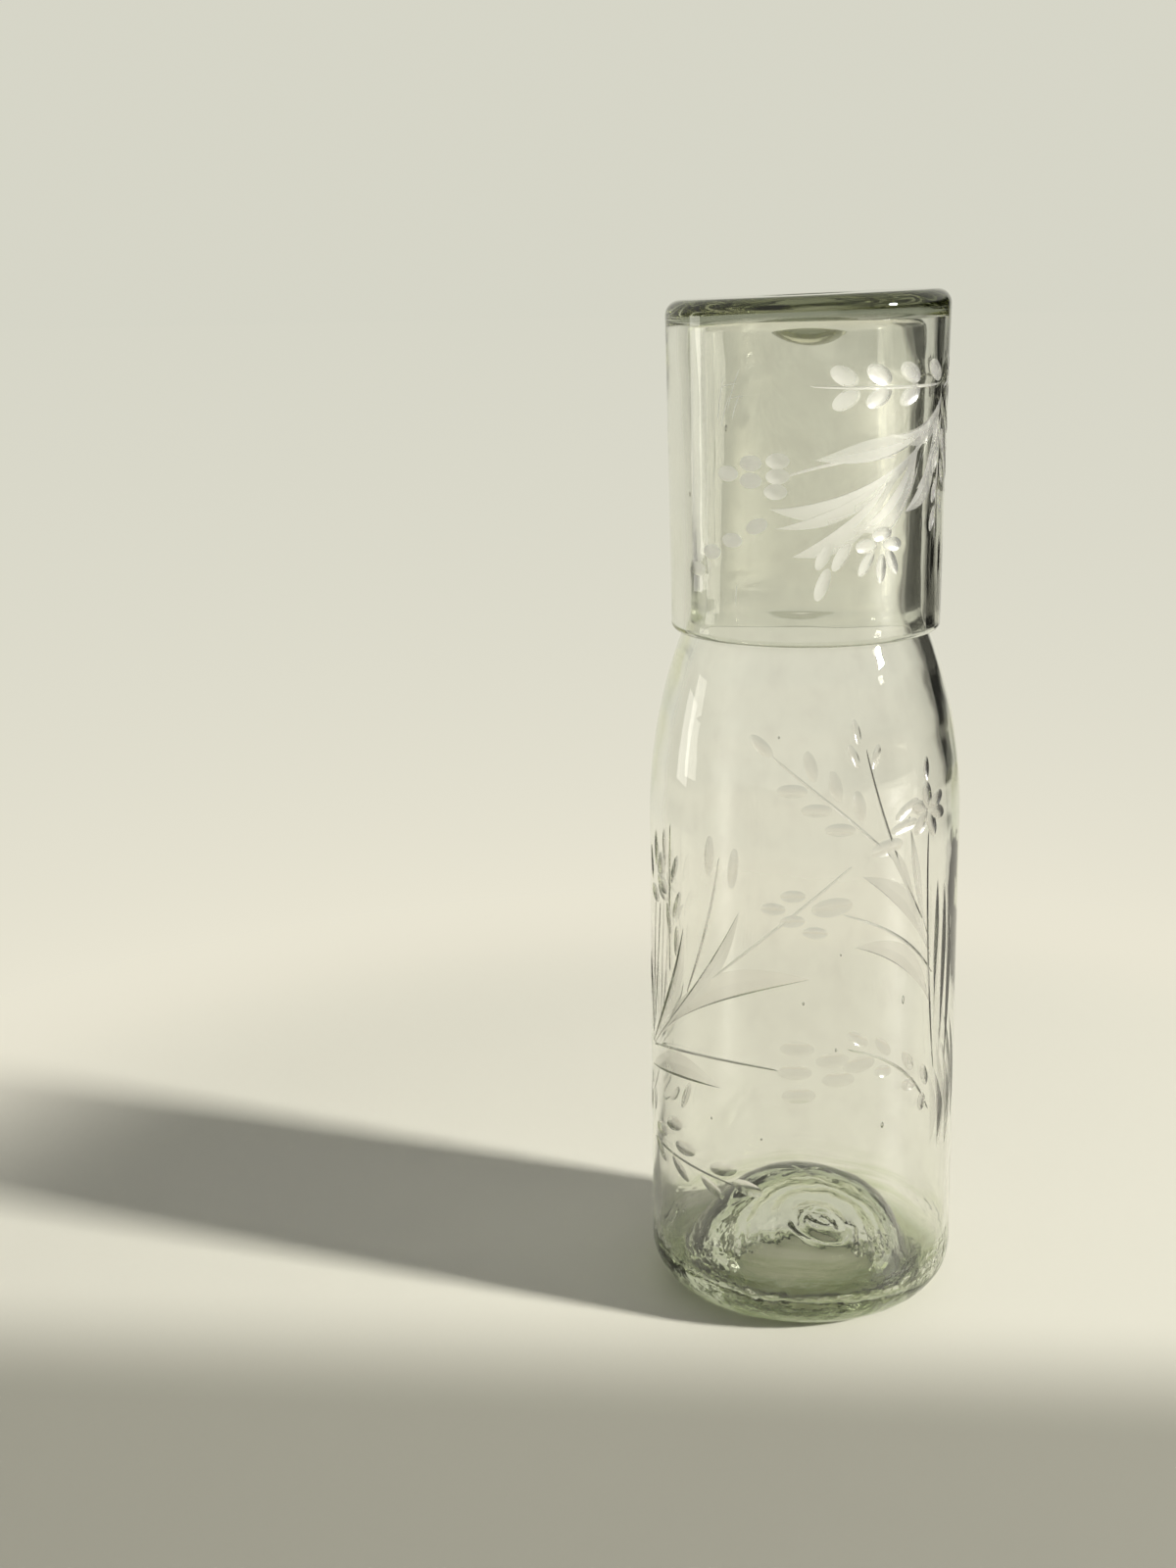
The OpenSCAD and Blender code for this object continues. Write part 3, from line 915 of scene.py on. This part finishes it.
def glass_material(name, absorb, ends, cords, cut_tint_and_shade, cut_roughness, cut_clear, skins):
    """Clear tinted glass, darker and greener at its ends and ground matt in the cuts, with an uneven skin;
    the tints of the ends and of the cuts, and how matt the cuts are, hold painted light and shade in part.
    """
    mat = bpy.data.materials.new(name)
    mat.use_nodes = True
    tree = mat.node_tree
    shader = tree.nodes["Principled BSDF"]
    shader.inputs["IOR"].default_value = GLASS_IOR
    cloud = rising(tree, scaled_noise(tree, CLOUD_SCALE, CLOUD_DETAIL), *CLOUD_RANGE)
    tint = coloured_mix(tree, cloud, THIN_TINT, CLOUD_TINT)
    cord = rising(tree, scaled_noise(tree, CORD_SCALE, CORD_DETAIL), *CORD_RANGE)
    tint = coloured_mix(tree, product(tree, cord, by_height(tree, *cords)), tint, CORD_TINT)
    for end_tint_and_shade, heights in ends:
        tint = coloured_mix(tree, by_height(tree, *heights), tint, end_tint_and_shade)
    # How matt each face is, which on the tumbler also carries painted light and shade
    ground_and_painted_light = node(tree, "ShaderNodeAttribute", attribute_name="ground_and_painted_light").outputs["Fac"]
    tint = coloured_mix(tree, ground_and_painted_light, tint, cut_tint_and_shade)
    tree.links.new(tint, shader.inputs["Base Color"])
    tree.links.new(from_ground(tree, ground_and_painted_light, 0.0, cut_roughness), shader.inputs["Roughness"])
    tree.links.new(from_ground(tree, ground_and_painted_light, 1.0, cut_clear), shader.inputs["Transmission Weight"])

    normal = None
    for strength, scale, heights in skins:
        height = product(tree, scaled_noise(tree, scale, SKIN_DETAIL), by_height(tree, *heights))
        bump = node(tree, "ShaderNodeBump")
        bump.inputs["Strength"].default_value = strength
        bump.inputs["Distance"].default_value = BUMP_DEPTH
        tree.links.new(height, bump.inputs["Height"])
        if normal:
            tree.links.new(normal, bump.inputs["Normal"])
        normal = bump.outputs["Normal"]
    tree.links.new(normal, shader.inputs["Normal"])

    volume = node(tree, "ShaderNodeVolumeAbsorption")
    volume.inputs["Color"].default_value = (*absorb, 1)
    volume.inputs["Density"].default_value = GLASS_DENSITY
    tree.links.new(volume.outputs["Volume"], tree.nodes["Material Output"].inputs["Volume"])
    return mat


# Each end: its tint, which is partly painted shade, and the heights between which it comes in
# Each skin: strength, scale of its waves, and the heights between which it comes in
carafe.data.materials.append(
    glass_material(
        "carafe_glass",
        absorb=(0.955, 0.962, 0.935),
        # The heel's dark olive is partly the thick glass's own colour and partly painted shade of the
        # shadowed floor under the foot
        ends=(((0.36, 0.41, 0.25), (11, 3)),),
        cords=(22, 15),
        # The carafe's cuts are a darker grey than the tumbler's: painted shade on the same frosting
        cut_tint_and_shade=(0.67, 0.65, 0.625),
        cut_roughness=0.3,
        cut_clear=0.96,
        skins=(
            (0.12, MOTTLE_SCALE, (10, 30)),
            (0.03, STREAK_SCALE, (160, 180)),
            (0.7, CHILL_SCALE, (22, 11)),
        ),
    )
)
tumbler.data.materials.append(
    glass_material(
        "tumbler_glass",
        absorb=(0.915, 0.92, 0.865),
        # The rim's tint is painted shade: a thin dark band where the rim's edge shows a dark line
        ends=(((0.13, 0.147, 0.105), BASE_TINT_Z), ((0.5, 0.51, 0.44), RIM_PAINTED_SHADE_Z)),
        cords=BASE_TINT_Z,
        cut_tint_and_shade=(0.97, 0.97, 0.95),
        cut_roughness=0.62,
        cut_clear=0.62,
        skins=((0.05, STREAK_SCALE, TUMBLER_SKIN_Z), (0.06, MOTTLE_SCALE, TUMBLER_SKIN_Z)),
    )
)

for piece, body in ((carafe, "carafe"), (tumbler, "tumbler")):
    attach(piece, body)
    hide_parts(body)


# Stage: a pale floor that runs out into the backdrop's colour, and falls into shade towards the camera

FAR_WALL = (0.675, 0.67, 0.575)
NEAR_WALL = (0.84, 0.80, 0.66)
FLOOR_COLOUR = (0.80, 0.79, 0.70)
SHADE_COLOUR = (0.36, 0.355, 0.305)
FLOOR_ROUGHNESS = 0.55
FLOOR_SPECULAR = 0.2
FLOOR_R = 12.0
FLOOR_SEGMENTS = 96
# Distances from the axis between which the floor passes into the backdrop
FLOOR_FADE = (0.2, 0.36)
# Distance from the axis within which the backdrop is at its brightest
NEAR_WALL_R = 0.3
# Places along Y between which the floor falls into shade, and between which the backdrop comes in
SHADE_Y = (-0.02, -0.08)
BACKDROP_Y = (-0.08, 0.1)
# Light that the room gives to matt surfaces
AMBIENT = (0.2, 0.2, 0.192)
# Each stop: X share of a direction, and how bright the room looks to the glass there
ROOM_STOPS = ((-1.0, 0.5), (-0.88, 0.5), (-0.78, 1.0), (0.36, 1.0), (0.46, 0.02), (0.95, 0.02), (1.0, 0.6))
# Distances from the axis between which the floor takes on the room's dark sides
ROOM_FADE = (0.55, 0.75)
# Z shares of a direction between which the room's dark sides end
ROOM_RISE = (0.14, 0.26)


def room_side(tree, across):
    """How bright glass sees the room towards a direction's X share."""
    shift = node(tree, "ShaderNodeMapRange")
    shift.inputs["From Min"].default_value = -1.0
    tree.links.new(across, shift.inputs["Value"])
    ramp = node(tree, "ShaderNodeValToRGB")
    stops = ramp.color_ramp.elements
    for i, (x, level) in enumerate(ROOM_STOPS):
        place = (x + 1) / 2
        stop = stops[0] if i == 0 else stops[-1] if i == len(ROOM_STOPS) - 1 else stops.new(place)
        stop.position = place
        stop.color = (level, level, level, 1)
    tree.links.new(shift.outputs["Result"], ramp.inputs["Fac"])
    return ramp.outputs["Color"]


def unless(tree, share, value):
    """A value that goes to 1 as the share goes to 1."""
    mix = node(tree, "ShaderNodeMix", data_type="FLOAT")
    tree.links.new(share, mix.inputs[0])
    tree.links.new(value, mix.inputs[2])
    mix.inputs[3].default_value = 1.0
    return mix.outputs[0]


def floor_material():
    """Matt floor round the object, and the backdrop with a brightness of its own further off."""
    mat = bpy.data.materials.new("floor")
    mat.use_nodes = True
    tree = mat.node_tree
    near_floor = tree.nodes["Principled BSDF"]
    near_floor.inputs["Roughness"].default_value = FLOOR_ROUGHNESS
    near_floor.inputs["Specular IOR Level"].default_value = FLOOR_SPECULAR
    where, parts = coordinates(tree)
    shade = rising(tree, parts["Y"], *SHADE_Y)
    tree.links.new(coloured_mix(tree, shade, FLOOR_COLOUR, SHADE_COLOUR), near_floor.inputs["Base Color"])

    length = node(tree, "ShaderNodeVectorMath", operation="LENGTH")
    tree.links.new(where, length.inputs[0])
    far = length.outputs["Value"]
    nearness = node(tree, "ShaderNodeMath", operation="DIVIDE", use_clamp=True)
    nearness.inputs[0].default_value = NEAR_WALL_R
    tree.links.new(far, nearness.inputs[1])
    across = node(tree, "ShaderNodeMath", operation="DIVIDE")
    tree.links.new(parts["X"], across.inputs[0])
    tree.links.new(far, across.inputs[1])
    wall = node(tree, "ShaderNodeEmission")
    tree.links.new(coloured_mix(tree, nearness.outputs["Value"], FAR_WALL, NEAR_WALL), wall.inputs["Color"])
    path = node(tree, "ShaderNodeLightPath")
    close = rising(tree, far, *ROOM_FADE[::-1])
    side = unless(tree, close, room_side(tree, across.outputs["Value"]))
    tree.links.new(unless(tree, path.outputs["Is Camera Ray"], side), wall.inputs["Strength"])

    # The backdrop is only behind the object: in front of it the floor goes on in shade
    passed = product(tree, rising(tree, far, *FLOOR_FADE), rising(tree, parts["Y"], *BACKDROP_Y))
    mix = node(tree, "ShaderNodeMixShader")
    tree.links.new(passed, mix.inputs["Fac"])
    tree.links.new(near_floor.outputs["BSDF"], mix.inputs[1])
    tree.links.new(wall.outputs["Emission"], mix.inputs[2])
    tree.links.new(mix.outputs["Shader"], tree.nodes["Material Output"].inputs["Surface"])
    return mat


floor_mesh = bpy.data.meshes.new("floor")
floor_bm = bmesh.new()
bmesh.ops.create_circle(floor_bm, cap_ends=True, segments=FLOOR_SEGMENTS, radius=FLOOR_R)
floor_bm.to_mesh(floor_mesh)
floor_bm.free()
floor = placed("floor", floor_mesh)
floor_mesh.materials.append(floor_material())


# Light: a soft room with dark sides, a key softbox low at the right, a dim one at the left,
# and a narrow one in front that lights the tumbler's cuts but that the glass doesn't mirror

LAMP_COLOUR = (1.0, 0.97, 0.9)


def room_world():
    """The room as glass sees it, the plain backdrop for the camera, and an even light on matt surfaces."""
    world = bpy.data.worlds.new("room")
    world.use_nodes = True
    tree = world.node_tree
    path = node(tree, "ShaderNodeLightPath")
    _, parts = coordinates(tree, "Generated")
    above = rising(tree, parts["Z"], *ROOM_RISE)
    side = unless(tree, above, room_side(tree, parts["X"]))
    room = node(tree, "ShaderNodeVectorMath", operation="SCALE")
    room.inputs[0].default_value = FAR_WALL
    tree.links.new(unless(tree, path.outputs["Is Camera Ray"], side), room.inputs["Scale"])
    shown = coloured_mix(tree, path.outputs["Is Diffuse Ray"], room.outputs["Vector"], AMBIENT)
    tree.links.new(shown, tree.nodes["Background"].inputs["Color"])
    return world


def softbox(name, place, target, size, power, spread=math.pi, mirrored=True):
    """A rectangular lamp aimed at a point; the camera never sees it, and glass only if it is mirrored."""
    data = bpy.data.lights.new(name, "AREA")
    data.shape = "RECTANGLE"
    data.size, data.size_y = size
    data.energy = power
    data.spread = spread
    data.color = LAMP_COLOUR
    lamp = placed(name, data)
    lamp.location = place
    lamp.rotation_euler = (Vector(target) - Vector(place)).to_track_quat("-Z", "Y").to_euler()
    lamp.visible_camera = False
    lamp.visible_glossy = lamp.visible_transmission = mirrored


scene = bpy.context.scene
scene.world = room_world()
softbox("key", place=(3.39, -1.035, 1.5), target=(0, 0, 0.13), size=(0.36, 0.36), power=278.0)
softbox("fill", place=(-0.88, 0.16, 0.16), target=(0, 0, 0.15), size=(0.2, 0.24), power=0.4)
softbox(
    "front",
    place=(-0.45, -0.68, 0.08),
    target=(0, 0, 0.22),
    size=(0.3, 0.12),
    power=0.127,
    spread=math.radians(34),
    mirrored=False,
)


# Camera, from the photograph's viewing angle

CAMERA_DISTANCE = 0.5147
CAMERA_HEIGHT = 0.2593
CAMERA_PITCH = math.radians(13.74)
CAMERA_YAW = math.radians(6.06)
CAMERA_ROLL = math.radians(0.98)
LENS = 48.0

ahead = Vector((-math.sin(CAMERA_YAW), math.cos(CAMERA_YAW), 0))
right = Vector((math.cos(CAMERA_YAW), math.sin(CAMERA_YAW), 0))
forward = ahead * math.cos(CAMERA_PITCH) - Vector((0, 0, math.sin(CAMERA_PITCH)))
up = ahead * math.sin(CAMERA_PITCH) + Vector((0, 0, math.cos(CAMERA_PITCH)))
rolled_right = right * math.cos(CAMERA_ROLL) - up * math.sin(CAMERA_ROLL)
rolled_up = up * math.cos(CAMERA_ROLL) + right * math.sin(CAMERA_ROLL)
camera_data = bpy.data.cameras.new("camera")
camera_data.lens = LENS
camera = placed("camera", camera_data)
turn = Matrix((rolled_right, rolled_up, -forward)).transposed()
camera.matrix_world = Matrix.Translation((0, -CAMERA_DISTANCE, CAMERA_HEIGHT)) @ turn.to_4x4()
bpy.context.scene.camera = camera

scene.view_settings.view_transform = "Standard"
# Light crosses eight surfaces of glass where the tumbler stands over the neck, and more where they mirror it
BOUNCES = 32
scene.cycles.max_bounces = BOUNCES
scene.cycles.transmission_bounces = BOUNCES
scene.cycles.glossy_bounces = BOUNCES
